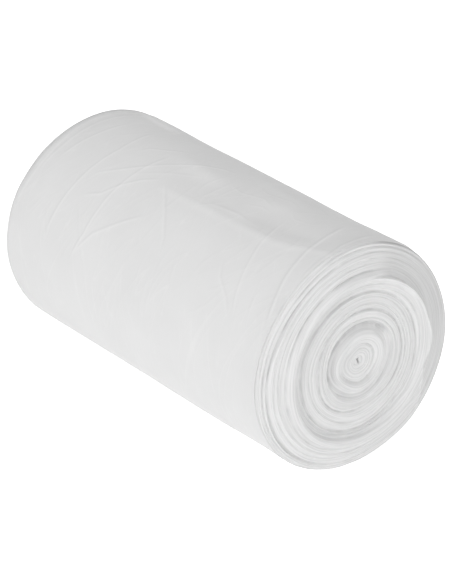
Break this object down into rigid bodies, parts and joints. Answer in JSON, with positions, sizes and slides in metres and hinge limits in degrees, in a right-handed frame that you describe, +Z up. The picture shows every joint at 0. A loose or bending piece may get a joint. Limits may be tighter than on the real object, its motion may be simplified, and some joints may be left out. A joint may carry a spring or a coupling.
{
  "type": "bin bag roll",
  "caption": "Coreless roll of folded plastic bin bags lying on its side, with turns that have slipped along the axis so that one end bulges.",
  "frame": {"origin": "on the flat spot that the roll rests on, below its axis, at the middle of its length", "axes": "+X along the roll's axis towards the bulging end, +Z up"},
  "size_m": [0.206, 0.1159, 0.1147],
  "materials": {
    "film": "satin white polythene film"
  },
  "bodies": {
    "root": {"bag_roll": "film"}
  },
  "joints": []
}
